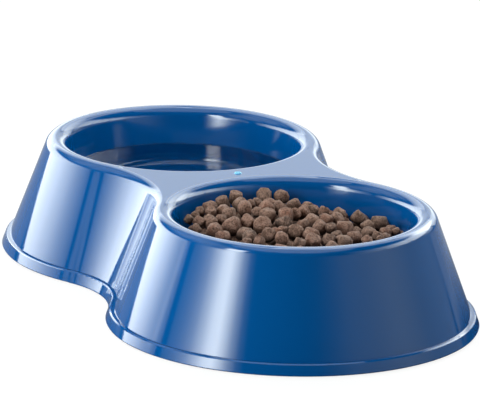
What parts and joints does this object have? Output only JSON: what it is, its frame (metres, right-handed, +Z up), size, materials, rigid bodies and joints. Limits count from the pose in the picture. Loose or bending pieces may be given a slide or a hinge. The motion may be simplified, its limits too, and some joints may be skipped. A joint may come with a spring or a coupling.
{
  "type": "double pet bowl",
  "caption": "Low double pet bowl moulded as one figure-of-eight shell with two round dishes, sloping skirt, foot band and rubber feet, holding water and dry kibble.",
  "frame": {"origin": "centre of the footprint on the floor, midway between the two dishes", "axes": "+X along the two dishes towards the food dish, +Z up"},
  "size_m": [0.3654, 0.2054, 0.0645],
  "materials": {
    "shell": "glossy moulded blue plastic",
    "feet": "matt black rubber",
    "water": "clear still water",
    "kibble": "dry, rough brown pellets"
  },
  "bodies": {
    "root": {"bowl_shell": "shell", "foot_1": "feet", "foot_2": "feet", "foot_3": "feet", "foot_4": "feet", "foot_5": "feet", "foot_6": "feet", "water": "water", "kibble": "kibble"}
  },
  "joints": []
}
